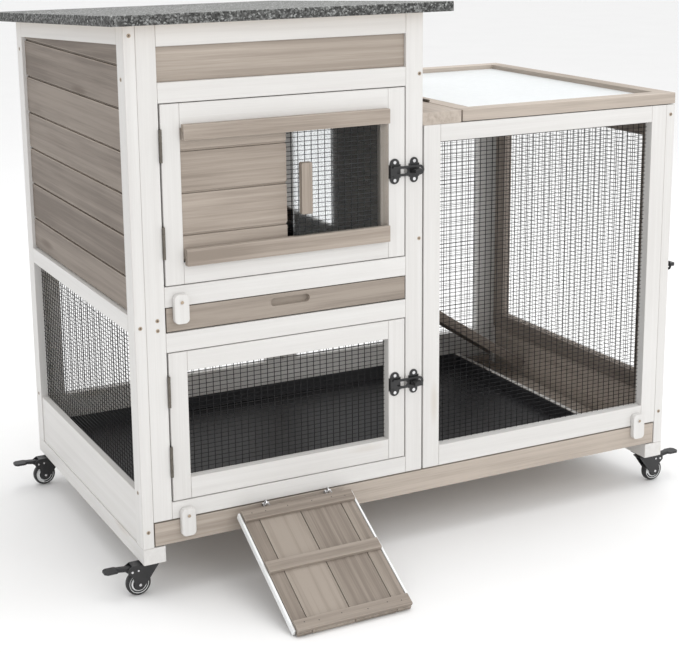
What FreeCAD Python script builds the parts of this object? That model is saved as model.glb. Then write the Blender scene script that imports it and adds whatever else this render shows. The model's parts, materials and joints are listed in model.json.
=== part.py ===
"""Two-storey rabbit hutch with a wire run, on four braked casters.

Sizes are in millimetres. Every sub-part is drawn from the front left corner of the footprint, on the
floor: X runs right along the front, Y runs back, Z runs up. Its Placement then moves it, so that the
origin of the model is the middle of the footprint.
"""
import FreeCAD
import Part

import os
import re

import Sketcher

DOC = FreeCAD.newDocument("rabbit_hutch")
DIMS = DOC.addObject("Spreadsheet::Sheet", "dims")

DRIVING = {
    # whole object
    "length": 1102.0,
    "depth": 630.0,
    "house": 543.0,
    "timber": 20.0,
    "stile": 34.0,
    # casters and the two beams on them
    "caster_rise": 63.0,
    "beam_rise": 29.0,
    "beam_wide": 40.0,
    "caster_inset": 20.0,
    "caster_front": 30.0,
    "wheel_radius": 22.0,
    "wheel_trail": 22.0,
    # heights of the rails, doors and drawers, from the floor up
    "beam_top": 92.0,
    "drawer_low": 94.0,
    "drawer_high": 135.0,
    "sill_low": 137.5,
    "sill_high": 168.0,
    "run_sill_high": 177.0,
    "back_sill_high": 180.0,
    "base_high": 187.0,
    "lower_low": 169.5,
    "lower_high": 431.0,
    "mid_low": 432.5,
    "mid_high": 466.0,
    "side_rail_low": 467.0,
    "side_rail_high": 497.0,
    "tray_low": 468.5,
    "tray_high": 508.5,
    "shelf_low": 510.0,
    "shelf_high": 545.0,
    "upper_low": 546.5,
    "upper_high": 846.5,
    "head_low": 848.0,
    "head_high": 881.5,
    "panel_high": 938.5,
    "run_rail_low": 745.0,
    "run_high": 776.0,
    "lid_low": 777.5,
    "lid_high": 798.5,
    # roof: height of its underside over the front face, and its fall to the back
    "roof_rise": 973.6,
    "roof_fall": 0.0524,
    "roof_thick": 17.0,
    "felt": 2.5,
    "roof_front": 30.0,
    "roof_left": 27.0,
    "roof_right": 44.0,
    "roof_back": 90.0,
    "rail": 30.0,
    # boards
    "board": 8.0,
    "groove": 4.2,
    "first_groove": 556.3,
    "board_pitch": 69.8,
    "back_board_top": 906.0,
    # wall between house and run, with its doorway
    "wall": 529.0,
    "doorway_front": 330.0,
    "doorway_back": 592.0,
    "doorway_low": 535.0,
    "doorway_high": 745.0,
    # doors
    "door_left": 57.0,
    "door_right": 507.0,
    "door_stile": 33.0,
    "channel": 12.0,
    "planks_right": 280.0,
    "mesh": 1.0,
    # run
    "run": 546.0,
    "strip_right": 622.5,
    "lid_left": 625.5,
    "lid_rail": 30.0,
    # hinges
    "hinge_reach": 2.6,
    "hinge_half": 27.0,
    "knuckle": 2.5,
    "pin": 1.25,
    "pin_bore": 1.3,
    # ramps
    "ramp_left": 172.0,
    "ramp_wide": 211.0,
    "ramp_long": 262.0,
    "ramp_thick": 8.0,
    "ramp_hang": 138.0,
    "ramp_slope": 28.8,
    "inner_ramp_front": 455.0,
    "inner_ramp_wide": 140.0,
    "inner_ramp_long": 632.0,
    "inner_ramp_high": 481.0,
    "inner_ramp_slope": 33.4,
}

for row, (word, number) in enumerate(DRIVING.items(), start=1):
    DIMS.set(f"A{row}", word)
    DIMS.set(f"B{row}", str(number))
    DIMS.setAlias(f"B{row}", word)
DOC.recompute()

NODES = []
ALONG = {"X": FreeCAD.Vector(1, 0, 0), "Y": FreeCAD.Vector(0, 1, 0), "Z": FreeCAD.Vector(0, 0, 1)}
UPRIGHT = FreeCAD.Rotation()
ROOF_SLOPE = "atan(roof_fall)"


def bound(text):
    """An expression with the sheet's name before each alias."""
    return re.sub(r"[a-z_]+", lambda m: f"dims.{m[0]}" if m[0] in DRIVING else m[0], str(text))


def place(piece, corner, rotation=UPRIGHT):
    piece.Placement = FreeCAD.Placement(FreeCAD.Vector(), rotation)
    for letter, value in zip("xyz", corner):
        piece.setExpression(f"Placement.Base.{letter}", bound(value))
    return piece


def tilt(piece, axis, angle):
    """Turn a placed piece about its own corner by a bound angle."""
    piece.Placement.Rotation = FreeCAD.Rotation(axis, 10)
    piece.setExpression("Placement.Rotation.Angle", bound(angle))
    return piece


def box(name, corner, size):
    piece = DOC.addObject("Part::Box", name)
    for prop, value in zip(("Length", "Width", "Height"), size):
        piece.setExpression(prop, bound(value))
    return place(piece, corner)


def rod(name, axis, start, radius, reach):
    """A cylinder that starts at a point and runs along X, Y or Z."""
    piece = DOC.addObject("Part::Cylinder", name)
    piece.setExpression("Radius", bound(radius))
    piece.setExpression("Height", bound(reach))
    return place(piece, start, FreeCAD.Rotation(ALONG["Z"], ALONG[axis]))


def cut(name, base, tool):
    piece = DOC.addObject("Part::Cut", name)
    piece.Base = base
    piece.Tool = tool
    return piece


def common(name, base, tool):
    piece = DOC.addObject("Part::Common", name)
    piece.Base = base
    piece.Tool = tool
    return piece


def fuse(name, pieces):
    piece = DOC.addObject("Part::MultiFuse", name)
    piece.Shapes = pieces
    piece.Refine = True
    return piece


def group(name, pieces, corner=(0, 0, 0), rotation=UPRIGHT):
    """Separate solids that are placed together."""
    whole = DOC.addObject("Part::Compound", name)
    whole.Links = pieces
    return place(whole, corner, rotation)


def node(name, pieces):
    """A sub-part: its solids, moved so that the origin is in the middle of the footprint."""
    whole = group(name, pieces, ("-length/2", "-depth/2", 0))
    whole.Label = name
    NODES.append(whole)
    return whole


def outline_sketch(body, role, outline):
    """A sketch on one of the body's own planes: a closed outline with straight sides and bound corners."""
    plane = next(f for f in body.Origin.OriginFeatures if f.Role == role)
    sketch = body.newObject("Sketcher::SketchObject", f"{body.Name}_outline")
    sketch.AttachmentSupport = [(plane, "")]
    sketch.MapMode = "FlatFace"
    count = len(outline)
    corners = [FreeCAD.Vector(20 * (i + 1), 7 * i * i + 5, 0) for i in range(count)]
    for i in range(count):
        sketch.addGeometry(Part.LineSegment(corners[i], corners[(i + 1) % count]), False)
    for i in range(count):
        sketch.addConstraint(Sketcher.Constraint("Coincident", i, 2, (i + 1) % count, 1))
    for i, point in enumerate(outline):
        for letter, value in zip("XY", point):
            index = sketch.addConstraint(Sketcher.Constraint(f"Distance{letter}", -1, 1, i, 1, 5.0 + i))
            sketch.setExpression(f"Constraints[{index}]", bound(value))
    return sketch


def pad(name, role, outline, reach, holes=()):
    """A body: a closed outline with straight sides and round holes, padded along its plane's normal."""
    body = DOC.addObject("PartDesign::Body", name)
    sketch = outline_sketch(body, role, outline)
    for across, up, radius in holes:
        circle = sketch.addGeometry(Part.Circle(FreeCAD.Vector(1, 1, 0), ALONG["Z"], 1), False)
        index = sketch.addConstraint(Sketcher.Constraint("Radius", circle, 1.0))
        sketch.setExpression(f"Constraints[{index}]", bound(radius))
        for letter, value in zip("XY", (across, up)):
            index = sketch.addConstraint(Sketcher.Constraint(f"Distance{letter}", -1, 1, circle, 3, 1.0))
            sketch.setExpression(f"Constraints[{index}]", bound(value))
    solid = body.newObject("PartDesign::Pad", f"{name}_pad")
    solid.Profile = sketch
    solid.setExpression("Length", bound(reach))
    return body


def rounded_block(name, corner, size, radius):
    """A block on the XZ plane with round corners; its thickness runs along Y."""
    x, y, z = corner
    wide, thick, tall = size
    pieces = [
        box(f"{name}_tall", (f"{x}+{radius}", y, z), (f"{wide}-2*{radius}", thick, tall)),
        box(f"{name}_wide", (x, y, f"{z}+{radius}"), (wide, thick, f"{tall}-2*{radius}")),
    ]
    for i, (u, w) in enumerate(((0, 0), (0, 1), (1, 0), (1, 1))):
        across = f"{x}+{radius}+{u}*({wide}-2*{radius})"
        up = f"{z}+{radius}+{w}*({tall}-2*{radius})"
        pieces.append(rod(f"{name}_corner_{i}", "Y", (across, y, up), radius, thick))
    return fuse(name, pieces)


def slot(name, corner, size):
    """A long round-ended cutter that runs through along Y."""
    x, y, z = corner
    wide, thick, tall = size
    return fuse(name, [
        box(f"{name}_middle", (f"{x}+{tall}/2", y, z), (f"{wide}-{tall}", thick, tall)),
        rod(f"{name}_left", "Y", (f"{x}+{tall}/2", y, f"{z}+{tall}/2"), f"{tall}/2", thick),
        rod(f"{name}_right", "Y", (f"{x}+{wide}-{tall}/2", y, f"{z}+{tall}/2"), f"{tall}/2", thick),
    ])


# ---------------------------------------------------------------- roof

def roof_slab(name, drop, thick, inset=0):
    """A sloped slab under or over the roof line: drop is measured down from the roof's underside."""
    front = f"-roof_front+{inset}"
    low = f"roof_rise-({drop})-roof_fall*({front})"
    corner = (f"-roof_left+{inset}", front, low)
    size = (
        f"house+roof_left+roof_right-2*{inset}",
        f"(depth+roof_front+roof_back-2*{inset})/cos({ROOF_SLOPE})",
        thick,
    )
    return tilt(box(name, corner, size), FreeCAD.Vector(-1, 0, 0), ROOF_SLOPE)


ABOVE_ROOF = roof_slab("above_roof", 0, 150, -60)


def under_roof(name, piece):
    return cut(name, piece, ABOVE_ROOF)


def build_roof():
    deck = roof_slab("deck_board", 0, "roof_thick-felt", "felt")
    node("roof_deck", [deck])
    node("roof_felt", [cut("felt_skin", roof_slab("felt_outside", 0, "roof_thick"), deck)])


# ---------------------------------------------------------------- timber frames

def build_beams():
    size = ("beam_wide", "depth", "beam_rise")
    node("depth_beams", [
        box("left_beam", (0, 0, "caster_rise"), size),
        box("right_beam", ("length-beam_wide", 0, "caster_rise"), size),
    ])


def build_side_frames():
    between = "depth-2*stile"
    tall = "roof_rise+10-beam_top"
    post = ("timber", "stile", tall)
    left_front = under_roof("left_front_post", box("left_front_blank", (0, 0, "beam_top"), post))
    left_back = under_roof("left_back_post", box("left_back_blank", (0, "depth-stile", "beam_top"), post))
    bay = box("left_top_bay", (0, "stile", "side_rail_high"), ("timber", between, 500))
    top_rail = common("left_top_rail", roof_slab("left_top_slab", "rail", f"rail*cos({ROOF_SLOPE})"), bay)
    right_post = ("timber", "stile", "run_high-beam_top")
    node("side_frames", [
        left_front,
        left_back,
        top_rail,
        box("left_mid_rail", (0, "stile", "side_rail_low"), ("timber", between, "rail")),
        box("left_base_board", (2, "stile", "beam_top"), (12, between, "base_high-beam_top")),
        box("right_front_post", ("length-timber", 0, "beam_top"), right_post),
        box("right_back_post", ("length-timber", "depth-stile", "beam_top"), right_post),
        box("right_top_rail", ("length-timber", "stile", "run_rail_low"),
            ("timber", between, "run_high-run_rail_low")),
        box("right_base_board", ("length-14", "stile", "beam_top"), (12, between, "base_high-beam_top")),
        box("back_base_board", ("timber", "depth-timber", "beam_top"),
            ("length-2*timber", "timber", "back_sill_high-beam_top")),
    ])


def plank(name, corner, size, face):
    """A board with a rebated lower edge, so that a groove shows. face is the side it shows on."""
    x, y, z = corner
    wide, thick, tall = size
    back = box(f"{name}_back", corner, size)
    if face == "left":
        rebate = box(f"{name}_rebate", (x, y, z), ("board/2", thick, "groove"))
    elif face == "right":
        rebate = box(f"{name}_rebate", (f"{x}+board/2", y, z), ("board/2", thick, "groove"))
    elif face == "back":
        rebate = box(f"{name}_rebate", (x, f"{y}+board/2", z), (wide, "board/2", "groove"))
    else:
        rebate = box(f"{name}_rebate", corner, (wide, "board/2", "groove"))
    return cut(name, back, rebate)


def left_boards():
    size_y = "depth-2*stile"
    below_rail = roof_slab("left_rail_space", "rail", 200, -60)
    boards = [plank("left_board_0", (6, "stile", "side_rail_high"),
                    ("board", size_y, "first_groove-side_rail_high"), "left")]
    for i in range(6):
        low = f"first_groove+{i}*board_pitch"
        boards.append(plank(f"left_board_{i + 1}", (6, "stile", low), ("board", size_y, "board_pitch"), "left"))
    return [cut(f"left_side_board_{i}", board, below_rail) for i, board in enumerate(boards)]


def build_house_front():
    rail_left = "timber+stile"
    rail_wide = "house-timber-2*stile"
    tall = "roof_rise+10-sill_low"
    pieces = [
        under_roof("front_left_stile", box("front_left_blank", ("timber", 0, "sill_low"),
                                           ("stile", "timber", tall))),
        under_roof("front_right_stile", box("front_right_blank", ("house-stile", 0, "sill_low"),
                                            ("stile", "timber", tall))),
        under_roof("front_top_rail", box("front_top_blank", (rail_left, 0, "panel_high"),
                                         (rail_wide, "timber", "roof_rise+10-panel_high"))),
    ]
    for name, low, high in (
        ("front_sill", "sill_low", "sill_high"),
        ("front_mid_rail", "mid_low", "mid_high"),
        ("front_shelf_rail", "shelf_low", "shelf_high"),
        ("front_head_rail", "head_low", "head_high"),
    ):
        pieces.append(box(name, (rail_left, 0, low), (rail_wide, "timber", f"{high}-{low}")))
    node("house_front_frame", pieces)


def build_house_back():
    rear = "depth-timber"
    rail_left = "timber+stile"
    rail_wide = "house-timber-2*stile"
    tall = "roof_rise-back_sill_high"
    pieces = [
        under_roof("back_left_stile", box("back_left_blank", ("timber", rear, "back_sill_high"),
                                          ("stile", "timber", tall))),
        under_roof("back_right_stile", box("back_right_blank", ("house-stile", rear, "back_sill_high"),
                                           ("stile", "timber", tall))),
        box("back_mid_rail", (rail_left, rear, "side_rail_low"), (rail_wide, "timber", "rail")),
        under_roof("back_top_rail", box("back_top_blank", (rail_left, rear, "back_board_top"),
                                        (rail_wide, "timber", "roof_rise-back_board_top"))),
        box("wall_rail", ("house-timber", "timber", "mid_high"),
            ("timber", "depth-2*timber", "shelf_low-mid_high")),
    ]
    node("house_back_frame", pieces)


def build_fixed_boards():
    """The front panel under the roof, the side and back boards, and the wall between house and run."""
    rail_left = "timber+stile"
    rail_wide = "house-timber-2*stile"
    pieces = [box("front_panel", (rail_left, 6, "head_high"), (rail_wide, "board", "panel_high-head_high"))]
    pitch = "(back_board_top-side_rail_high)/6"
    for i in range(6):
        low = f"side_rail_high+{i}*{pitch}"
        pieces.append(plank(f"back_board_{i}", (rail_left, "depth-12", low), (rail_wide, "board", pitch), "back"))
    node("house_boards", pieces + left_boards())

    doorway = box("doorway", ("wall-5", "doorway_front", "doorway_low"),
                  (30, "doorway_back-doorway_front", "doorway_high-doorway_low"))
    boards = []
    for i in range(7):
        low = f"shelf_low+{i}*board_pitch"
        board = plank(f"wall_board_{i}", ("wall", "timber", low),
                      ("board", "depth-2*timber", "board_pitch"), "right")
        boards.append(under_roof(f"wall_board_top_{i}", cut(f"wall_board_open_{i}", board, doorway)))
    node("wall_boards", boards)
    node("upper_floor", [box("floor_board", ("timber", "timber", "mid_high-5"),
                             ("house-2*timber", "depth-2*timber", 6))])


def build_run_frame():
    bay_left = "run+stile"
    bay_wide = "length-timber-run-2*stile"
    right_stile = "length-timber-stile"
    front = ("stile", "timber", "run_high-sill_low")
    back = ("stile", "timber", "run_high-back_sill_high")
    top = (bay_wide, "timber", "run_high-run_rail_low")
    rear = "depth-timber"
    node("run_frame", [
        box("run_front_left_stile", ("run", 0, "sill_low"), front),
        box("run_front_right_stile", (right_stile, 0, "sill_low"), front),
        box("run_front_top_rail", (bay_left, 0, "run_rail_low"), top),
        box("run_front_sill", (bay_left, 0, "sill_low"), (bay_wide, "timber", "run_sill_high-sill_low")),
        box("run_back_left_stile", ("run", rear, "back_sill_high"), back),
        box("run_back_right_stile", (right_stile, rear, "back_sill_high"), back),
        box("run_back_top_rail", (bay_left, rear, "run_rail_low"), top),
    ])
    node("run_top_strip", [box("top_strip", ("house", 0, "run_high"),
                               ("strip_right-house", "depth", "lid_high-run_high"))])


def build_fixed_mesh():
    """Thin closed sheets where the fixed panels of wire mesh are."""
    bay_left = "timber+stile"
    run_left = "run+stile"
    run_wide = "length-timber-run-2*stile"
    node("wire_mesh_panels", [
        box("left_wire", (14, "stile", "base_high"), ("mesh", "depth-2*stile", "side_rail_low-base_high")),
        box("house_back_wire", (bay_left, "depth-14", "back_sill_high"),
            ("house-timber-2*stile", "mesh", "side_rail_low-back_sill_high")),
        box("run_front_wire", (run_left, 16, "run_sill_high"), (run_wide, "mesh", "run_rail_low-run_sill_high")),
        box("run_back_wire", (run_left, "depth-14", "back_sill_high"),
            (run_wide, "mesh", "run_rail_low-back_sill_high")),
    ])


# ---------------------------------------------------------------- hinges and hasps

FIXED_KNUCKLES = ((-27, -16.3), (-5.3, 5.3), (16.3, 27))
MOVING_KNUCKLES = ((-16, -5.6), (5.6, 16))
FLIPPED = FreeCAD.Rotation(ALONG["X"], 180)
FACING_RIGHT = FreeCAD.Rotation(FreeCAD.Vector(1, -1, 0), 180)
FACING_UP = FreeCAD.Rotation(ALONG["X"], -90)


def hinge_leaf(name, side, knuckles, corner, rotation):
    """A leaf with its knuckles, round the pin line: side -1 is the fixed leaf, 1 the moving one."""
    near = f"{side}-0.5"
    solids = [box(f"{name}_leaf", (near, "hinge_reach", "-hinge_half"), (1, 13.4, "2*hinge_half"))]
    bore = rod(f"{name}_bore", "Z", (0, 0, -40), "pin_bore", 80)
    barrels = []
    for i, (low, high) in enumerate(knuckles):
        barrels.append(rod(f"{name}_knuckle_{i}", "Z", (0, 0, low), "knuckle", high - low))
        solids.append(box(f"{name}_web_{i}", (near, 1.4, low), (1, 1.4, high - low)))
    barrel = cut(f"{name}_barrel", fuse(f"{name}_knuckles", barrels), bore)
    return group(name, [fuse(f"{name}_solid", [barrel] + solids)], corner, rotation)


def hinge(name, corner, rotation=UPRIGHT):
    """Returns the fixed leaf and pin, and the moving leaf."""
    fixed = hinge_leaf(f"{name}_fixed", -1, FIXED_KNUCKLES, corner, rotation)
    moving = hinge_leaf(f"{name}_moving", 1, MOVING_KNUCKLES, corner, rotation)
    pin = group(f"{name}_pin", [rod(f"{name}_rod", "Z", (0, 0, -27.5), "pin", 55)], corner, rotation)
    return [fixed, pin], moving


def hasp(name, corner, rotation):
    """A twist-knob hasp round its strap's pin: plate and pin, strap, keeper, knob."""
    bore = rod(f"{name}_bore", "Z", (0, 4.1, -20), 1.05, 40)
    lugs = [rounded_flat(f"{name}_plate_flat", -3, 21, 22.5)]
    for side, low in (("up", 7), ("down", -12)):
        lugs.append(rod(f"{name}_plate_lug_{side}", "Z", (0, 4.1, low), 2.2, 5))
        lugs.append(box(f"{name}_plate_arm_{side}", (-2, 0, low), (4, 3.7, 5)))
    plate = cut(f"{name}_plate_open", fuse(f"{name}_plate", lugs), bore)
    pin = rod(f"{name}_pin", "Z", (0, 4.1, -12.5), 1.0, 25)
    openings = fuse(f"{name}_strap_openings", [
        rod(f"{name}_strap_bore", "Z", (0, 4.1, -20), 1.05, 40),
        slot(f"{name}_strap_slot", (36, 1, -4.4), (25.5, 8, 8.8)),
        slot(f"{name}_strap_window", (11, 1, -4.4), (21, 8, 8.8)),
    ])
    strap = cut(f"{name}_strap_open",
                fuse(f"{name}_strap", [
                    rod(f"{name}_strap_barrel", "Z", (0, 4.1, -6.7), 2.2, 13.4),
                    box(f"{name}_strap_neck", (0, 4.7, -6.7), (5, 1.6, 13.4)),
                    box(f"{name}_strap_flat", (4, 4.7, -9), (53, 1.6, 18)),
                    rod(f"{name}_strap_end", "Y", (57, 4.7, 0), 9, 1.6),
                ]), openings)
    keeper = cut(f"{name}_keeper_open",
                 fuse(f"{name}_keeper", [
                     rounded_flat(f"{name}_keeper_flat", 37.5, 58.5, 22.5),
                     rod(f"{name}_keeper_boss", "Y", (48, 1.6, 0), 7, 2.8),
                 ]),
                 rod(f"{name}_keeper_bore", "Y", (48, 0.5, 0), 3.05, 6))
    knob = fuse(f"{name}_knob", [
        rod(f"{name}_knob_shaft", "Y", (48, 0.7, 0), 3.0, 9.6),
        box(f"{name}_knob_wing", (40, 9.5, -3.4), (16, 12.5, 6.8)),
    ])
    plate_screws = []
    keeper_screws = []
    for i, up in enumerate((-16, 16)):
        plate_screws.append(rod(f"{name}_plate_screw_{i}", "Y", (9, 1.6, up), 3.3, 0.8))
        keeper_screws.append(rod(f"{name}_keeper_screw_{i}", "Y", (48, 1.6, up), 3.3, 0.8))
    return (
        [group(f"{name}_plate_set", [plate, pin] + plate_screws, corner, rotation)],
        [group(f"{name}_strap_set", [strap], corner, rotation)],
        [group(f"{name}_keeper_set", [keeper] + keeper_screws, corner, rotation)],
        [group(f"{name}_knob_set", [knob], corner, rotation)],
    )


def rounded_flat(name, left, right, half):
    """A thin plate with a round screw ear above and below a wider middle."""
    wide = right - left
    middle = (left + right) / 2
    ear = wide / 2 - 2.5
    return fuse(name, [
        box(f"{name}_middle", (left, 0, -12), (wide, 1.6, 24)),
        box(f"{name}_stem", (middle - ear, 0, ear - half), (2 * ear, 1.6, 2 * (half - ear))),
        rod(f"{name}_ear_up", "Y", (middle, 0, half - ear), ear, 1.6),
        rod(f"{name}_ear_down", "Y", (middle, 0, ear - half), ear, 1.6),
    ])


# ---------------------------------------------------------------- doors

def build_upper_door():
    inside_left = "door_left+door_stile"
    inside_wide = "door_right-door_left-2*door_stile"
    tall = "upper_high-upper_low"
    node("upper_door_frame", [
        box("upper_door_left_stile", ("door_left", 0, "upper_low"), ("door_stile", "timber", tall)),
        box("upper_door_right_stile", ("door_right-door_stile", 0, "upper_low"), ("door_stile", "timber", tall)),
        box("upper_door_top_rail", (inside_left, 0, "upper_high-40"), (inside_wide, "timber", 40)),
        box("upper_door_bottom_rail", (inside_left, 0, "upper_low"), (inside_wide, "timber", 37)),
    ])
    groove = (inside_wide, 3.4, 13)
    across = (f"{inside_left}+2", "-channel")
    top = cut("top_channel",
              box("top_channel_blank", (*across, 786.7), (f"{inside_wide}-4", "channel", 25.8)),
              box("top_channel_groove", (inside_left, -7.9, 786.7), groove))
    bottom = cut("bottom_channel",
                 box("bottom_channel_blank", (*across, 578), (f"{inside_wide}-4", "channel", 29)),
                 box("bottom_channel_groove", (inside_left, -7.9, 594), groove))
    boards = [top, bottom]
    for i, (low, high) in enumerate(((583.5, 626.6), (626.6, 697), (697, 766.5), (766.5, 806.5))):
        boards.append(plank(f"upper_door_plank_{i}", (inside_left, 2, low),
                            (f"planks_right-({inside_left})", "board", high - low), "front"))
    boards.append(box("window_stop", ("door_right-door_stile-16", 0, 583.5), (16, 12, 223)))
    node("upper_door_boards", boards)
    node("upper_door_mesh", [box("upper_door_wire", ("planks_right", 14, 583.5),
                                 ("door_right-door_stile-planks_right", "mesh", 223))])
    pane = box("pane_sheet", (287, -7.4, 596), (184, 2.4, 202))
    handle = rounded_block("pane_grip", (298, -17.4, 645), (21, 10, 89), 3)
    node("sliding_pane", [pane, handle])


def build_lower_door():
    inside_left = "door_left+door_stile"
    inside_wide = "door_right-door_left-2*door_stile"
    tall = "lower_high-lower_low"
    node("lower_door_frame", [
        box("lower_door_left_stile", ("door_left", 0, "lower_low"), ("door_stile", "timber", tall)),
        box("lower_door_right_stile", ("door_right-door_stile", 0, "lower_low"), ("door_stile", "timber", tall)),
        box("lower_door_top_rail", (inside_left, 0, "lower_high-34"), (inside_wide, "timber", 34)),
        box("lower_door_bottom_rail", (inside_left, 0, "lower_low"), (inside_wide, "timber", 38)),
    ])
    node("lower_door_mesh", [box("lower_door_wire", (inside_left, 16, "lower_low+38"),
                                 (inside_wide, "mesh", f"{tall}-72"))])


def build_side_door():
    face = "length-timber"
    front = "stile+3"
    back = "depth-stile-3"
    low = "base_high+2"
    high = "run_rail_low-2"
    tall = f"{high}-({low})"
    inside = f"{back}-({front})-2*stile"
    node("side_door_frame", [
        box("side_door_front_stile", (face, front, low), ("timber", "stile", tall)),
        box("side_door_back_stile", (face, f"{back}-stile", low), ("timber", "stile", tall)),
        box("side_door_top_rail", (face, f"{front}+stile", f"{high}-stile"), ("timber", inside, "stile")),
        box("side_door_bottom_rail", (face, f"{front}+stile", low), ("timber", inside, "stile")),
    ])
    node("side_door_mesh", [box("side_door_wire", (f"{face}+4", f"{front}+stile", f"{low}+stile"),
                                ("mesh", inside, f"{tall}-2*stile"))])


def build_lid():
    wide = "length-lid_left"
    thick = "lid_high-lid_low"
    node("lid_frame", [
        box("lid_front_rail", ("lid_left", 0, "lid_low"), (wide, "lid_rail", thick)),
        box("lid_back_rail", ("lid_left", "depth-lid_rail", "lid_low"), (wide, "lid_rail", thick)),
        box("lid_left_rail", ("lid_left", "lid_rail", "lid_low"), ("lid_rail", "depth-2*lid_rail", thick)),
        box("lid_right_rail", ("length-lid_rail", "lid_rail", "lid_low"),
            ("lid_rail", "depth-2*lid_rail", thick)),
    ])
    node("lid_sheet", [box("lid_panel", ("lid_left+lid_rail", "lid_rail", "lid_low+7"),
                           (f"{wide}-2*lid_rail", "depth-2*lid_rail", 5))])


def build_door_metal():
    """Hinges and hasps of the three doors, and the lid's hinges."""
    leaves = []
    keepers = []
    door_axis = "door_left-1.5"
    side_axis = ("length+hinge_reach", "depth-stile-1.5")
    hasps = {
        "upper": (("door_right-30", 0, 700), FLIPPED),
        "lower": (("door_right-30", 0, 311), FLIPPED),
        "side": (("length", "stile+31", 456), FreeCAD.Rotation(ALONG["Z"], -90)),
    }
    heights = {"upper": (779.5, 619.3), "lower": (364.8, 241.2), "side": (640, 300)}
    for door, levels in heights.items():
        moving = []
        for i, level in enumerate(levels):
            if door == "side":
                fixed, leaf = hinge(f"{door}_hinge_{i}", (*side_axis, level), FACING_RIGHT)
            else:
                fixed, leaf = hinge(f"{door}_hinge_{i}", (door_axis, "-hinge_reach", level))
            leaves += fixed
            moving.append(leaf)
        plate, strap, keeper, knob = hasp(f"{door}_hasp", *hasps[door])
        keepers += keeper
        node(f"{door}_door_metal", moving + plate)
        node(f"{door}_strap", strap)
        node(f"{door}_knob", knob)
    lid_leaves = []
    for i, along in enumerate((145, 480)):
        fixed, leaf = hinge(f"lid_hinge_{i}", ("lid_left-1.5", along, "lid_high+hinge_reach"), FACING_UP)
        leaves += fixed
        lid_leaves.append(leaf)
    node("hinge_leaves", leaves)
    node("lid_hinge_leaves", lid_leaves)
    node("hasp_keepers", keepers)


# ---------------------------------------------------------------- drawers and their turn buttons

def pan(name, corner, size, wall=2.5):
    """An open plastic pan."""
    x, y, z = corner
    wide, deep, tall = size
    hollow = box(f"{name}_hollow", (f"{x}+{wall}", f"{y}+{wall}", f"{z}+{wall}"),
                 (f"{wide}-2*{wall}", f"{deep}-2*{wall}", tall))
    return cut(name, box(f"{name}_outside", corner, size), hollow)


def turn_button(name, across, pivot):
    """A round-cornered wooden block that hangs from one screw."""
    block = rounded_block(f"{name}_block", (f"{across}-13", -11, f"{pivot}-37"), (26, 10.4, 50), 8)
    hole = rod(f"{name}_hole", "Y", (across, -12, pivot), 2.1, 14)
    screw = fuse(f"{name}_screw", [
        rod(f"{name}_shank", "Y", (across, -11.2, pivot), 2.0, 10.7),
        rod(f"{name}_head", "Y", (across, -12.4, pivot), 3.6, 1.3),
    ])
    node(name, [cut(f"{name}_drilled", block, hole), screw])


def build_upper_tray():
    left = "door_left-1"
    wide = "door_right-door_left+1"
    front = box("tray_front_blank", (left, 0, "tray_low"), (wide, 14, "tray_high-tray_low"))
    grip = slot("tray_front_grip", ("(door_left+door_right)/2-37", -1, "tray_low+19"), (74, 10, 14))
    node("tray_front", [cut("tray_front_board", front, grip)])
    node("tray_pan", [pan("tray_plastic", (f"{left}+4", 15, "tray_low"), (f"{wide}-8", "depth-timber-20", 36))])
    turn_button("tray_button", 80, 519)


def build_lower_drawer():
    left = "timber+2"
    wide = "length-2*timber-4"
    deep = "depth-timber-18"
    node("drawer_front", [box("drawer_face", (left, 0, "drawer_low"),
                              (wide, 14, "drawer_high-drawer_low"))])
    base = (wide, deep, 5)
    pan_wide = 953
    node("drawer_base", [
        box("drawer_floor", (left, 14, "drawer_low+2"), base),
        box("drawer_divider", (f"{left}+{pan_wide}+8", 16, "drawer_low+7"), (10, f"{deep}-4", 30)),
        box("drawer_rear_lip", (f"{left}+{pan_wide}+20", f"{deep}+2", "drawer_low+7"), (80, 10, 16)),
    ])
    node("drawer_pan", [pan("drawer_plastic", (f"{left}+6", 15.5, "drawer_low+7"), (pan_wide, f"{deep}-4", 31))])
    turn_button("drawer_button_left", 80, 143)
    turn_button("drawer_button_right", 1036, 150)


# ---------------------------------------------------------------- ramps

RAMP_EYES = (223, 344)


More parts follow.
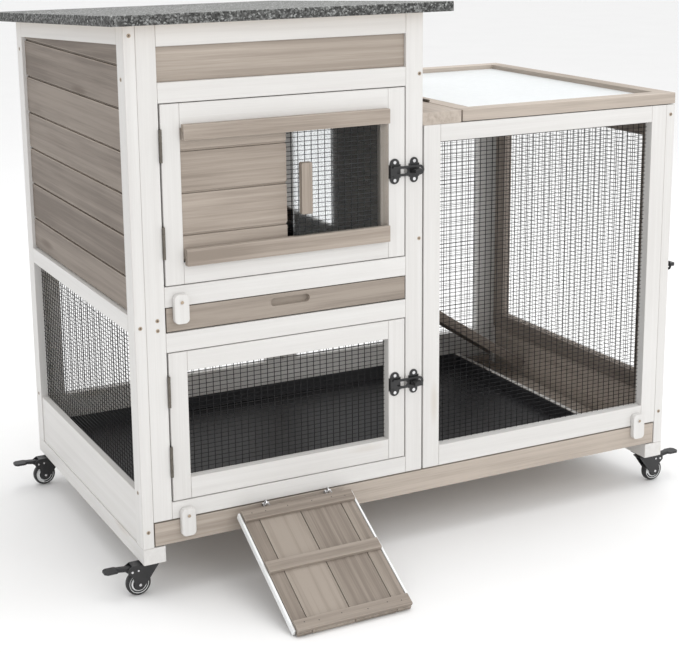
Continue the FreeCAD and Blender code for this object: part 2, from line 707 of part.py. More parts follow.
def build_outer_ramp():
    """The ramp hangs from two screw eyes; it is drawn flat, then tilted about their line."""
    pivot = (0, -10, "ramp_hang")
    far = "-ramp_long-6.3"
    boards = []
    for i, (start, wide) in enumerate(((0, 26), (27.2, 77.5), (105.9, 77.5), (184.6, 26.4))):
        boards.append(box(f"ramp_plank_{i}", (f"ramp_left+{start}", far, "-1.2-ramp_thick"),
                          (wide, "ramp_long", "ramp_thick")))
    for i, along in enumerate((-33, "-ramp_long/2-14", f"{far}+1")):
        boards.append(box(f"ramp_batten_{i}", ("ramp_left-1", along, -1.2), ("ramp_wide+2", 22, 7)))
    deck = group("ramp_deck", boards, pivot)
    node("ramp_boards", [tilt(deck, ALONG["X"], "ramp_slope")])
    trim = []
    for i, across in enumerate(("ramp_left-5.4", "ramp_left+ramp_wide+1.4")):
        trim.append(box(f"ramp_side_rail_{i}", (across, f"{far}+7", -12.5), (4, "ramp_long-11", 11.3)))
    for i, across in enumerate(RAMP_EYES):
        trim.append(fuse(f"ramp_hook_{i}", [
            rod(f"ramp_hook_bar_{i}", "X", (across - 6, 0, 0), 1.1, 12),
            rod(f"ramp_hook_leg_left_{i}", "Y", (across - 5, -9, 0), 1.1, 9),
            rod(f"ramp_hook_leg_right_{i}", "Y", (across + 5, -9, 0), 1.1, 9),
            rod(f"ramp_hook_foot_{i}", "X", (across - 6, -9, 0), 1.1, 12),
        ]))
    rails = group("ramp_rails_and_hooks", trim, pivot)
    node("ramp_trim", [tilt(rails, ALONG["X"], "ramp_slope")])
    eyes = []
    for i, across in enumerate(RAMP_EYES):
        start = (across - 1.2, -10, "ramp_hang")
        eye = fuse(f"ramp_eye_{i}", [
            rod(f"ramp_eye_disc_{i}", "X", start, 5.8, 2.4),
            box(f"ramp_eye_shank_{i}", (across - 1.2, -10, "ramp_hang-5.4"), (2.4, 10, 1.9)),
            rod(f"ramp_eye_flange_{i}", "Y", (across, -1.2, "ramp_hang-6.4"), 3.3, 1.2),
        ])
        eyes.append(cut(f"ramp_eye_open_{i}", eye, rod(f"ramp_eye_hole_{i}", "X", start, 3.4, 2.4)))
    node("ramp_eyes", eyes)


def build_inner_ramp():
    """A fixed ramp that hangs from the wall rail and comes down to the floor of the run."""
    pieces = [box("inner_ramp_board", (0, 8, -8), ("inner_ramp_long", "inner_ramp_wide-16", 8))]
    for i, across in enumerate((0, "inner_ramp_wide-8")):
        pieces.append(box(f"inner_ramp_rail_{i}", (0, across, -14), ("inner_ramp_long", 8, 20)))
    for i in range(9):
        pieces.append(box(f"inner_ramp_cleat_{i}", (30 + 68 * i, 8, 0), (12, "inner_ramp_wide-16", 7)))
    sloped = group("inner_ramp_sloped", pieces, ("house+6", "inner_ramp_front", "inner_ramp_high"))
    tilt(sloped, ALONG["Y"], "inner_ramp_slope")
    hanger = box("inner_ramp_hanger", ("house", "inner_ramp_front", "mid_high"),
                 (6, "inner_ramp_wide", "inner_ramp_high+8-mid_high"))
    behind = box("inner_ramp_end_space", ("house-50", "inner_ramp_front-10", 400), (56, "inner_ramp_wide+20", 120))
    node("inner_ramp", [hanger, cut("inner_ramp_fitted", sloped, behind)])


# ---------------------------------------------------------------- screws

FRONT_SCREWS = ((10, 958), (10, 481), (10, 122), (40, 490), (40, 473), (536, 868), (536, 575))
RUN_SCREWS = ((1092, 757), (1092, 158))
LID_SCREWS = ((640, 786), (1092, 786))
SIDE_SCREWS = ((17, 888), (17, 190), (613, 888), (613, 190))
SCREW_RADIUS = 3.4
SCREW_PROUD = 0.6


def build_screws():
    heads = []
    for i, (across, up) in enumerate(FRONT_SCREWS + RUN_SCREWS):
        heads.append(rod(f"front_screw_{i}", "Y", (across, -SCREW_PROUD, up), SCREW_RADIUS, SCREW_PROUD))
    for i, (along, up) in enumerate(SIDE_SCREWS):
        heads.append(rod(f"left_screw_{i}", "X", (-SCREW_PROUD, along, up), SCREW_RADIUS, SCREW_PROUD))
    for i, along in enumerate((17, 613)):
        for level, up in enumerate((730, 200)):
            heads.append(rod(f"right_screw_{i}_{level}", "X", ("length", along, up), SCREW_RADIUS, SCREW_PROUD))
    for i, across in enumerate((37, 526, 563, 1065)):
        for level, up in enumerate((210, 730)):
            heads.append(rod(f"back_screw_{i}_{level}", "Y", (across, "depth", up), SCREW_RADIUS, SCREW_PROUD))
    node("frame_screws", heads)


# ---------------------------------------------------------------- casters

CASTERS = {
    "front_left": ("caster_inset", "caster_front", 180),
    "back_left": ("caster_inset", "depth-caster_front", 180),
    "front_right": ("length-caster_inset", "caster_front", 0),
    "back_right": ("length-caster_inset", "depth-caster_front", 0),
}
CHEEK = ((-16, 57.2), (34, 57.2), (42, 52), (42, 44), (33, 36), (31, 18), (26, 13), (18, 13), (8, 24))
LEVER = ((30, 43.8), (30, 51), (36, 53.5), (60, 55.5), (60, 50), (46, 48), (41, 43.8))
TREAD = ((57, -7), (62, -11), (78, -11), (83, -6), (83, 6), (78, 11), (62, 11), (57, 7))
# outline of half the wheel for a radius of 20, as distance from the axle and place along it
BORE = 2.55
WHEEL = (
    (BORE, -7.5), (11, -7.5), (12, -6), (15.5, -6), (16.5, -7), (19, -5.6), (20, -3),
    (20, 3), (19, 5.6), (16.5, 7), (15.5, 6), (12, 6), (11, 7.5), (BORE, 7.5),
)


def caster_wheel(name):
    """A turned wheel about the Y axis of its own body."""
    body = DOC.addObject("PartDesign::Body", name)
    outline = [(radius if radius == BORE else f"{radius}*wheel_radius/20", across) for radius, across in WHEEL]
    sketch = outline_sketch(body, "XY_Plane", outline)
    turned = body.newObject("PartDesign::Revolution", f"{name}_turned")
    turned.Profile = sketch
    turned.ReferenceAxis = (sketch, ["V_Axis"])
    turned.Angle = 360
    return body


def build_casters():
    plates = []
    for name, (across, along, heading) in CASTERS.items():
        turn = FreeCAD.Rotation(ALONG["Z"], heading)
        corner = (across, along, 0)
        plates.append(group(f"{name}_plate_set", [fuse(f"{name}_plate", [
            box(f"{name}_plate_flat", (-18, -18, "caster_rise-2"), (36, 36, 2)),
            rod(f"{name}_plate_race", "Z", (0, 0, "caster_rise-5.4"), 13, 4),
            rod(f"{name}_kingpin", "Z", (0, 0, 52.4), 4, 8),
            rod(f"{name}_kingpin_head", "Z", (0, 0, 51.4), 6, 1.6),
        ])], corner, turn))
        cheeks = []
        for side, low in (("near", -11), ("far", 9)):
            cheek = pad(f"{name}_cheek_{side}", "XZ_Plane", CHEEK, 2)
            cheek.Placement = FreeCAD.Placement(FreeCAD.Vector(0, low + 2, 0), UPRIGHT)
            cheeks.append(cheek)
        crown = cut(f"{name}_crown", box(f"{name}_crown_flat", (-16, -11, 54.4), (50, 22, 2.8)),
                    rod(f"{name}_crown_hole", "Z", (0, 0, 50), 4.08, 10))
        fork = fuse(f"{name}_fork_solid", cheeks + [
            crown,
            rod(f"{name}_axle", "Y", ("wheel_trail", -13.5, "wheel_radius"), 2.5, 27),
            rod(f"{name}_pivot", "Y", (35, -12, 47), 2.0, 24),
            rod(f"{name}_rivet", "Y", (24, -12, 48), 1.8, 24),
        ])
        node(f"{name}_fork", [group(f"{name}_fork_set", [fork], corner, turn)])
        wheel = caster_wheel(f"{name}_wheel_body")
        placed = group(f"{name}_wheel_turned", [wheel], ("wheel_trail", 0, "wheel_radius"))
        node(f"{name}_wheel", [group(f"{name}_wheel_set", [placed], corner, turn)])
        arm = pad(f"{name}_lever", "XZ_Plane", LEVER, 12, [(35, 47, 2.06)])
        arm.Placement = FreeCAD.Placement(FreeCAD.Vector(0, 6, 0), UPRIGHT)
        tread = pad(f"{name}_tread", "XY_Plane", TREAD, 4)
        tread.Placement = FreeCAD.Placement(FreeCAD.Vector(0, 0, 50.5), UPRIGHT)
        lever = fuse(f"{name}_lever_solid", [arm, tread])
        node(f"{name}_brake", [group(f"{name}_brake_set", [lever], corner, turn)])
    node("caster_plates", plates)


# ---------------------------------------------------------------- the whole

def check_and_export():
    DOC.recompute()
    bad = [piece.Name for piece in DOC.Objects if {"Invalid", "Error"} & set(piece.State)]
    for piece in NODES:
        if piece.Shape.isNull() or not piece.Shape.isValid() or not piece.Shape.Solids:
            bad.append(f"{piece.Label} (shape)")
    if bad:
        raise RuntimeError("failed: " + ", ".join(bad))
    os.makedirs("parts", exist_ok=True)
    for piece in NODES:
        piece.Shape.exportStep(f"parts/{piece.Label}.step")
        print(piece.Label, len(piece.Shape.Solids), "solids,", round(piece.Shape.Volume / 1000, 1), "cm3")
    print(len(NODES), "nodes")


build_roof()
build_beams()
build_side_frames()
build_house_front()
build_house_back()
build_fixed_boards()
build_run_frame()
build_fixed_mesh()
build_upper_door()
build_lower_door()
build_side_door()
build_lid()
build_door_metal()
build_upper_tray()
build_lower_drawer()
build_outer_ramp()
build_inner_ramp()
build_screws()
build_casters()
check_and_export()
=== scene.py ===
"""The rabbit hutch's looks: timber with grain, welded wire, felt, hardware, light and camera."""
import json
import math
import random

import bmesh
import bpy
from mathutils import Matrix, Vector


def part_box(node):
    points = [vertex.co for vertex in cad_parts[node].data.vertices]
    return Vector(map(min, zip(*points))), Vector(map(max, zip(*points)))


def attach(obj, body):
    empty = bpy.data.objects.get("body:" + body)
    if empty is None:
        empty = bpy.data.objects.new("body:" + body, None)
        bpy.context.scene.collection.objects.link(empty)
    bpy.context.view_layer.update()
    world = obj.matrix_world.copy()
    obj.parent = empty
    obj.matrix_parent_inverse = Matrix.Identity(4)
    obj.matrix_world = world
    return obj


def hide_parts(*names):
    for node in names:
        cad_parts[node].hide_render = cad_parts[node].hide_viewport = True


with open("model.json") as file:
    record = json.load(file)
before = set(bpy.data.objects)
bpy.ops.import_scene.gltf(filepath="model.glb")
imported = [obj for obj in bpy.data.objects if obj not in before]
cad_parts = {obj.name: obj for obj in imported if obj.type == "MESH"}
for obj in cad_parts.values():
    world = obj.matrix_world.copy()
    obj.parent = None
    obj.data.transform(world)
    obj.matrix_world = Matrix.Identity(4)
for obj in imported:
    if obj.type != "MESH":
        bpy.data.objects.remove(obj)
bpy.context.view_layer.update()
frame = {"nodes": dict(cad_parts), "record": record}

MM = 0.001
random.seed(7)


def once(parts):
    """The parts without repeats, in the order they come, so that every run gives the same result."""
    return list(dict.fromkeys(parts))


def facing(direction):
    """The turn that points Z along the direction."""
    return direction.to_track_quat("Z", "Y").to_matrix().to_4x4()


def finished_mesh(name, mesh_data, *materials):
    """A mesh made from a bmesh, which is then freed."""
    mesh = bpy.data.meshes.new(name)
    mesh_data.to_mesh(mesh)
    mesh_data.free()
    for material in materials:
        mesh.materials.append(material)
    return mesh


# ------------------------------------------------------------------ materials

class Nodes:
    """Short calls for building one material's nodes."""

    def __init__(self, name):
        self.material = bpy.data.materials.new(name)
        self.material.use_nodes = True
        self.tree = self.material.node_tree
        self.shader = self.tree.nodes["Principled BSDF"]

    def add(self, kind, **sockets):
        node = self.tree.nodes.new(kind)
        for name, value in sockets.items():
            node.inputs[name].default_value = value
        return node

    def link(self, out, into):
        self.tree.links.new(out, into)

    def feed(self, socket, value):
        """Give a socket a number, a colour, or another node's output."""
        if isinstance(value, (int, float)):
            socket.default_value = value
        elif isinstance(value, tuple):
            socket.default_value = (*value, 1)
        else:
            self.link(value, socket)

    def attribute(self, name):
        node = self.add("ShaderNodeAttribute")
        node.attribute_name = name
        return node

    def place(self):
        """The point on the piece, in metres."""
        return self.add("ShaderNodeTexCoord").outputs["Object"]

    def mapped(self, vector, scale):
        node = self.add("ShaderNodeMapping", Scale=scale)
        self.link(vector, node.inputs["Vector"])
        return node.outputs["Vector"]

    def noise(self, vector, scale, detail=4.0, roughness=0.55, distortion=0.0):
        node = self.add("ShaderNodeTexNoise", Scale=scale, Detail=detail, Roughness=roughness,
                        Distortion=distortion)
        self.link(vector, node.inputs["Vector"])
        return node.outputs["Fac"]

    def ramp(self, factor, stops):
        node = self.add("ShaderNodeValToRGB")
        ramp = node.color_ramp
        ramp.elements[0].position, ramp.elements[0].color = stops[0][0], (*stops[0][1], 1)
        ramp.elements[1].position, ramp.elements[1].color = stops[-1][0], (*stops[-1][1], 1)
        for position, colour in stops[1:-1]:
            ramp.elements.new(position).color = (*colour, 1)
        self.link(factor, node.inputs["Fac"])
        return node.outputs["Color"]

    def math(self, operation, a, b):
        node = self.add("ShaderNodeMath")
        node.operation = operation
        self.feed(node.inputs[0], a)
        self.feed(node.inputs[1], b)
        return node.outputs[0]

    def mix(self, factor, a, b):
        node = self.add("ShaderNodeMix")
        node.data_type = "RGBA"
        factor_in, a_in, b_in = (node.inputs[i] for i in (0, 6, 7))   # the mix node's colour sockets
        self.feed(factor_in, factor)
        self.feed(a_in, a)
        self.feed(b_in, b)
        return node.outputs[2]

    def bump(self, height, strength, distance):
        node = self.add("ShaderNodeBump", Strength=strength, Distance=distance)
        self.link(height, node.inputs["Height"])
        return node.outputs["Normal"]

    def finish(self, colour, roughness, normal=None, **sockets):
        self.feed(self.shader.inputs["Base Color"], colour)
        self.feed(self.shader.inputs["Roughness"], roughness)
        if normal is not None:
            self.link(normal, self.shader.inputs["Normal"])
        for name, value in sockets.items():
            self.feed(self.shader.inputs[name.replace("_", " ")], value)
        return self.material


def timber(name, dark, light, knot, roughness, grain, worn, edge_wear):
    """Planed softwood: streaks along the grain, a few knots, and edges rubbed lighter or darker."""
    n = Nodes(name)
    along = n.attribute("grain").outputs["Vector"]
    tone = n.attribute("tone").outputs["Fac"]
    edge = n.attribute("edge").outputs["Fac"]
    warp = n.noise(n.mapped(along, (2.2, 9.0, 9.0)), 1.0, 2.0)
    rings = n.noise(n.mapped(along, (1.6, 95.0, 95.0)), 1.0, 5.0, 0.6, 0.35)
    fibre = n.noise(n.mapped(along, (14.0, 620.0, 620.0)), 1.0, 3.0, 0.6)
    spots = n.add("ShaderNodeTexVoronoi", Scale=1.0, Randomness=1.0)
    n.link(n.mapped(along, (2.6, 13.0, 13.0)), spots.inputs["Vector"])
    knots = n.ramp(spots.outputs["Distance"],
                   [(0.0, (1, 1, 1)), (0.06, (0.7, 0.7, 0.7)), (0.13, (0, 0, 0))])
    streak = n.math("ADD", n.math("MULTIPLY", rings, 0.7), n.math("MULTIPLY", fibre, 0.3))
    streak = n.math("ADD", streak, n.math("MULTIPLY", n.math("SUBTRACT", warp, 0.5), 0.5))
    streak = n.math("ADD", streak, n.math("MULTIPLY", n.math("SUBTRACT", tone, 0.5), grain))
    colour = n.ramp(streak, [(0.36, dark), (0.64, light)])
    colour = n.mix(n.math("MULTIPLY", knots, 0.75), colour, knot)
    patches = n.noise(n.mapped(along, (30.0, 60.0, 60.0)), 1.0, 3.0)
    rub = n.math("MULTIPLY", edge, n.math("MULTIPLY", patches, edge_wear))
    colour = n.mix(rub, colour, worn)
    height = n.math("ADD", n.math("MULTIPLY", fibre, 0.6), n.math("MULTIPLY", rings, 0.4))
    gloss = n.math("ADD", n.math("MULTIPLY", fibre, 0.18), roughness - 0.09)
    return n.finish(colour, gloss, n.bump(height, 0.35, 0.25 * MM))


def surface(name, colour, roughness, spread=0.15, scale=60.0, bump=0.1, metallic=0.0, **sockets):
    """A paint, plastic or metal with slight unevenness in colour, gloss and surface."""
    n = Nodes(name)
    where = n.place()
    broad = n.noise(where, scale, 3.0)
    fine = n.noise(where, scale * 18, 3.0)
    low = tuple(c * (1 - spread) for c in colour)
    high = tuple(min(1.0, c * (1 + spread)) for c in colour)
    tint = n.ramp(broad, [(0.3, low), (0.7, high)])
    gloss = n.math("ADD", n.math("MULTIPLY", fine, 0.2), roughness - 0.1)
    return n.finish(tint, gloss, n.bump(fine, bump, 0.1 * MM), Metallic=metallic, **sockets)


def felt():
    """Mineral felt: dark bitumen under stone granules, with the faces that look up painted paler as
    painted light from above.
    """
    n = Nodes("mineral_felt")
    where = n.place()
    grains = n.add("ShaderNodeTexVoronoi", Scale=360.0, Randomness=1.0)
    n.link(where, grains.inputs["Vector"])
    shade = n.add("ShaderNodeSeparateColor")
    n.link(grains.outputs["Color"], shade.inputs["Color"])
    clumps = n.noise(where, 130.0, 4.0, 0.7)
    clouds = n.noise(where, 7.0, 3.0)
    level = n.math("ADD", n.math("MULTIPLY", shade.outputs["Red"], 0.6), n.math("MULTIPLY", clumps, 0.45))
    level = n.math("ADD", level, n.math("MULTIPLY", n.math("SUBTRACT", clouds, 0.5), 0.12))
    colour = n.ramp(level, [(0.25, (0.024, 0.024, 0.023)), (0.55, (0.074, 0.075, 0.073)),
                            (0.76, (0.19, 0.194, 0.19)), (0.92, (0.44, 0.45, 0.44))])
    # Painted light: faces whose normal points up take the paler ramp below, standing in for light falling
    # from above.
    upright = n.add("ShaderNodeSeparateXYZ")
    n.link(n.add("ShaderNodeNewGeometry").outputs["True Normal"], upright.inputs["Vector"])
    top = n.ramp(level, [(0.3, (0.085, 0.086, 0.084)), (0.55, (0.17, 0.172, 0.168)),
                         (0.76, (0.33, 0.335, 0.325)), (0.92, (0.62, 0.63, 0.62))])
    colour = n.mix(n.math("GREATER_THAN", upright.outputs["Z"], 0.7), colour, top)
    height = n.math("SUBTRACT", clumps, n.math("MULTIPLY", grains.outputs["Distance"], 0.8))
    return n.finish(colour, 0.92, n.bump(height, 0.8, 1.2 * MM))


WHITE = timber("white_paint_on_pine", (0.625, 0.612, 0.595), (0.685, 0.675, 0.66), (0.56, 0.52, 0.47),
               0.46, 0.12, (0.52, 0.50, 0.47), 0.5)
TAUPE = timber("taupe_stain_on_fir", (0.245, 0.203, 0.167), (0.395, 0.338, 0.288), (0.15, 0.115, 0.085),
               0.68, 0.3, (0.42, 0.37, 0.32), 0.6)
# Painted shade: a darker copy of the taupe stain, for the left wall boards, the side door frame and the
# inner ramp, where shade falls.
SHADED_TAUPE = timber("taupe_stain_painted_shade", (0.150, 0.122, 0.101), (0.262, 0.222, 0.189), (0.11, 0.08, 0.06),
                    0.68, 0.3, (0.36, 0.31, 0.27), 0.6)
MID_TAUPE = timber("mid_taupe_stain", (0.200, 0.165, 0.136), (0.330, 0.283, 0.240), (0.13, 0.10, 0.075),
                   0.68, 0.3, (0.40, 0.35, 0.30), 0.6)
# Taupe stain with painted light: a paler copy for the up-facing lid frame and top strip, the drawer front,
# the front panel, and the drawer floor and inner base board faces in the dark run.
TAUPE_WITH_PAINTED_LIGHT = timber("taupe_stain_with_painted_light", (0.315, 0.268, 0.226), (0.465, 0.405, 0.35), (0.22, 0.17, 0.13),
                    0.68, 0.4, (0.55, 0.50, 0.44), 0.5)
PLYWOOD = timber("bare_plywood", (0.47, 0.36, 0.25), (0.62, 0.50, 0.37), (0.33, 0.21, 0.12),
                 0.62, 0.5, (0.40, 0.30, 0.20), 0.6)
FELT = felt()
WIRE = surface("black_wire", (0.012, 0.012, 0.013), 0.6, bump=0.05, Specular_IOR_Level=0.2)
BLACK_METAL = surface("black_painted_metal", (0.016, 0.016, 0.017), 0.36, bump=0.15)
ZINC = surface("dull_hinge_plate", (0.16, 0.145, 0.125), 0.42, metallic=1.0, bump=0.1)
BRASS = surface("yellow_zinc_screw", (0.42, 0.34, 0.26), 0.38, metallic=1.0, bump=0.1)
# Dark nail heads on the ramp (their own colour), and painted shade in the screws' cross recesses.
DARK_NAILS_AND_RECESS_SHADE = surface("dark_nail_heads_and_painted_recess_shade", (0.035, 0.030, 0.026), 0.6, bump=0.1)
BRIGHT = surface("bright_steel", (0.66, 0.66, 0.67), 0.22, metallic=1.0, bump=0.05)
BLACK_PLASTIC = surface("black_pan_plastic", (0.018, 0.018, 0.020), 0.5, scale=30.0, bump=0.3)
TYRE = surface("black_tyre", (0.012, 0.012, 0.013), 0.5, bump=0.25)
HUB = surface("pale_hub_ring", (0.66, 0.67, 0.67), 0.35, spread=0.05)
CLEAR = surface("clear_acrylic", (0.93, 0.95, 0.96), 0.11, spread=0.01, bump=0.02,
                Transmission_Weight=1.0, IOR=1.25)
LID_SHEET = surface("white_sheet", (0.86, 0.89, 0.90), 0.34, spread=0.02, scale=4.0, bump=0.02,
                    Transmission_Weight=0.35)
WHITE_PLASTIC = surface("white_plastic", (0.82, 0.83, 0.83), 0.35, spread=0.03)


# ------------------------------------------------------------------ pieces from the CAD nodes

WELD = 0.01 * MM
SAME_PLANE = math.radians(0.6)
FLAT = math.radians(1)
CURVED = math.radians(35)       # facets of a round face meet below this angle, and sharp edges above it
CREASE = math.radians(42)

def new_object(name, mesh, body, replaced=()):
    piece = bpy.data.objects.new(name, mesh)
    bpy.context.scene.collection.objects.link(piece)
    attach(piece, body)
    if replaced:
        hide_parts(*replaced)
    return piece


def body_of(node):
    for body, nodes in frame["record"]["behaviour"]["bodies"].items():
        if node in nodes:
            return body
    raise KeyError(node)


def islands(mesh_data):
    """The separate solids of a bmesh, as lists of faces. Solids that touch may share an edge."""
    seen = set()
    found = []
    for face in mesh_data.faces:
        if face.index in seen:
            continue
        seen.add(face.index)
        stack = [face]
        group = []
        while stack:
            here = stack.pop()
            group.append(here)
            for edge in here.edges:
                if len(edge.link_faces) > 2:
                    continue
                for other in edge.link_faces:
                    if other.index not in seen:
                        seen.add(other.index)
                        stack.append(other)
        found.append(group)
    return found


def solids(node):
    """The node's mesh as a bmesh, with flat faces made whole and each solid loose from the others."""
    mesh_data = bmesh.new()
    mesh_data.from_mesh(frame["nodes"][node].data)
    bmesh.ops.remove_doubles(mesh_data, verts=mesh_data.verts, dist=WELD)
    bmesh.ops.dissolve_limit(mesh_data, angle_limit=SAME_PLANE, verts=mesh_data.verts,
                             edges=mesh_data.edges)
    mesh_data.faces.index_update()
    mark = mesh_data.faces.layers.int.new("solid")
    groups = islands(mesh_data)
    for number, faces in enumerate(groups):
        for face in faces:
            face[mark] = number
    for number in range(1, len(groups)):
        faces = [face for face in mesh_data.faces if face[mark] == number]
        rims = once(part for face in faces for part in (*face.edges, *face.verts))
        bmesh.ops.split(mesh_data, geom=[*faces, *rims])
    mesh_data.faces.index_update()
    return mesh_data


def extents(faces):
    points = [v.co for f in faces for v in f.verts]
    low = Vector(min(p[i] for p in points) for i in range(3))
    high = Vector(max(p[i] for p in points) for i in range(3))
    return low, high


def grain_axes(faces):
    """Along, across and through a piece of timber: its longest edge gives the grain."""
    edges = once(e for f in faces for e in f.edges)
    longest = max(edges, key=lambda e: (round(e.calc_length(), 5),
                                        abs(e.verts[0].co.z - e.verts[1].co.z)))
    along = (longest.verts[1].co - longest.verts[0].co).normalized()
    helper = max((f.normal for f in faces), key=lambda v: 1 - abs(v.dot(along)))
    across = (helper - helper.dot(along) * along).normalized()
    return along, across, along.cross(across)


def refine(node, material, width=1.0, segments=2, pick=None, extra=()):
    """A CAD node with its sharp edges rounded, and its grain, tone and edges marked for the material.

    width is the rounding in mm. pick(low, high) chooses each solid's material from its extents: 0 for
    material, 1 and up for the extra ones.
    """
    mesh_data = solids(node)
    grain = mesh_data.verts.layers.float_vector.new("grain")
    tone = mesh_data.verts.layers.float.new("tone")
    edge_mark = mesh_data.faces.layers.float.new("edge")
    solid_mark = mesh_data.faces.layers.int["solid"]
    groups = islands(mesh_data)
    for number, faces in enumerate(groups):
        for face in faces:
            face[solid_mark] = number
        along, across, through = grain_axes(faces)
        shift = Vector(random.uniform(-40, 40) for _ in range(3))
        shade = random.uniform(0.2, 0.8)
        low, high = extents(faces)
        middle = (low + high) / 2
        index = pick(low, high) if pick else 0
        for face in faces:
            face.material_index = index
            for vert in face.verts:
                offset = vert.co - middle
                vert[grain] = Vector((offset.dot(along), offset.dot(across), offset.dot(through))) + shift
                vert[tone] = shade
    for face in mesh_data.faces:
        face.smooth = any(FLAT < e.calc_face_angle(0) < CURVED for e in face.edges)
    for number in range(len(groups)):
        sharp = once(e for f in mesh_data.faces if f[solid_mark] == number
                     for e in f.edges if e.calc_face_angle(0) > CURVED)
        made = bmesh.ops.bevel(mesh_data, geom=sharp, offset=width * MM, segments=segments,
                               profile=0.5, affect="EDGES", clamp_overlap=True)
        for face in made["faces"]:
            face[edge_mark] = 1.0
            face.smooth = True
    for edge in mesh_data.edges:
        edge.smooth = edge.calc_face_angle(0) < CREASE
    mesh = finished_mesh(f"{node}_fine", mesh_data, material, *extra)
    return new_object(f"{node}_fine", mesh, body_of(node), [node])


TIMBER_NODES = {
    WHITE: ("depth_beams", "house_front_frame", "house_back_frame", "run_frame",
            "upper_door_frame", "lower_door_frame"),
    TAUPE: ("wall_boards", "upper_door_boards"),
    # painted light: the paler taupe copy on the up-facing lid frame and top strip, and on the drawer front
    TAUPE_WITH_PAINTED_LIGHT: ("lid_frame", "run_top_strip", "drawer_front"),
    MID_TAUPE: ("tray_front", "ramp_boards"),
    # painted shade: the darker taupe copy on the side door frame and the inner ramp
    SHADED_TAUPE: ("side_door_frame", "inner_ramp"),
    PLYWOOD: ("upper_floor", "roof_deck"),
}


TIMBER_EDGE = 1.1
BOARD_DEPTH = 20 * MM           # within this of the left or right outside, a board or face is the wall's
FRONT_DEPTH = 30 * MM
BASE_BELOW = 200 * MM
DIVIDER_THICK = 20 * MM
BUTTON_SCREW_WIDE = 12 * MM


def painted_shade_and_light_by_wall(low, high):
    """Painted shade and light: the left wall's boards take the darker shaded taupe, and the front panel
    the paler lit taupe.
    """
    left, front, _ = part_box("house_boards")[0]
    if high.x < left + BOARD_DEPTH:
        return 1
    return 2 if high.y < front + FRONT_DEPTH else 0


def build_timber():
    for material, nodes in TIMBER_NODES.items():
        for node in nodes:
            refine(node, material, TIMBER_EDGE)
    refine("house_boards", TAUPE, TIMBER_EDGE, extra=(SHADED_TAUPE, TAUPE_WITH_PAINTED_LIGHT), pick=painted_shade_and_light_by_wall)
    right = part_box("side_frames")[1][0]
    sides = refine("side_frames", WHITE, TIMBER_EDGE, extra=(TAUPE_WITH_PAINTED_LIGHT,))
    # The right base board's inner faces are taupe stained inside, given the paler copy as painted light in
    # the dark run.
    for face in sides.data.polygons:
        inward = face.normal.x < -0.5
        if inward and face.center.x > right - BOARD_DEPTH and face.center.z < BASE_BELOW:
            face.material_index = 1
    # The drawer floor takes the paler taupe as painted light inside the dark run; the divider is white.
    refine("drawer_base", TAUPE_WITH_PAINTED_LIGHT, 1.0, extra=(WHITE,),
           pick=lambda low, high: int(high.x - low.x < DIVIDER_THICK))
    refine("roof_felt", FELT, 1.6, 3)
    for node in ("tray_button", "drawer_button_left", "drawer_button_right"):
        refine(node, WHITE, 1.4, 3, extra=(BRASS,),
               pick=lambda low, high: int(high.x - low.x < BUTTON_SCREW_WIDE))


PANE_GRIP_WIDE = 100 * MM       # the pane's grip is narrower than this, the pane wider
RAMP_HOOK_DEEP = 100 * MM       # the ramp's hooks are shallower than this, its side rails deeper
SMALL_SCREW = 8 * MM
HINGE_LONG = 50 * MM
RIVET_FACE = 11.05 * MM         # only a fork's rivet ends lie farther from its middle
HUB_INSIDE, HUB_OUTSIDE = 10.5 * MM, 17.4 * MM


def build_plastic():
    refine("tray_pan", BLACK_PLASTIC, 1.0)
    refine("drawer_pan", BLACK_PLASTIC, 1.0)
    refine("lid_sheet", LID_SHEET, 0.8)
    refine("sliding_pane", CLEAR, 0.5, extra=(TAUPE,),
           pick=lambda low, high: int(high.x - low.x < PANE_GRIP_WIDE))
    refine("ramp_trim", WHITE_PLASTIC, 0.6, extra=(BRIGHT,),
           pick=lambda low, high: int(high.y - low.y <= RAMP_HOOK_DEEP))


def screw_or_plate(low, high):
    return int(max(high - low) < SMALL_SCREW)


def screw_hinge_or_plate(low, high):
    if screw_or_plate(low, high):
        return 1
    return 2 if max(high.y - low.y, high.z - low.z) > HINGE_LONG else 0


def build_metal():
    for door in ("upper", "lower", "side"):
        refine(f"{door}_door_metal", BLACK_METAL, 0.35, extra=(BRIGHT, ZINC),
               pick=screw_hinge_or_plate)
        refine(f"{door}_strap", BLACK_METAL, 0.35)
        refine(f"{door}_knob", BLACK_METAL, 0.9, 3)
    refine("hasp_keepers", BLACK_METAL, 0.35, extra=(BRIGHT,), pick=screw_or_plate)
    refine("hinge_leaves", ZINC, 0.2)
    refine("lid_hinge_leaves", ZINC, 0.2)
    refine("caster_plates", BLACK_METAL, 0.4)
    refine("ramp_eyes", BRIGHT, 0.8, 3)
    refine("frame_screws", BRASS, 0.25)
    for corner in ("front_left", "back_left", "front_right", "back_right"):
        fork = refine(f"{corner}_fork", BLACK_METAL, 0.5, extra=(BRIGHT,))
        low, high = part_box(f"{corner}_fork")
        middle = (low[1] + high[1]) / 2
        for face in fork.data.polygons:
            if abs(face.center.y - middle) > RIVET_FACE:
                face.material_index = 1
        refine(f"{corner}_brake", BLACK_PLASTIC, 0.8)
        wheel(corner)


def wheel(corner):
    """A tyre with the pale hub ring on its faces."""
    piece = refine(f"{corner}_wheel", TYRE, 0.6, extra=(HUB,))
    low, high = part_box(f"{corner}_wheel")
    middle = (Vector(low) + Vector(high)) / 2
    for face in piece.data.polygons:
        out = face.center - middle
        if HUB_INSIDE < math.hypot(out.x, out.z) < HUB_OUTSIDE:
            face.material_index = 1


BATTEN_LENGTHS = (180 * MM, 230 * MM)
NAIL_PLACES = (-0.42, -0.3, -0.1, 0.12, 0.3, 0.42)      # along a batten, in its lengths from the middle
NAIL_RADIUS, NAIL_HEIGHT = 1.1 * MM, 0.25 * MM
RECESS_BAR = (4.2 * MM, 1.0 * MM, 0.2 * MM)
RECESS_SINK = 0.05 * MM


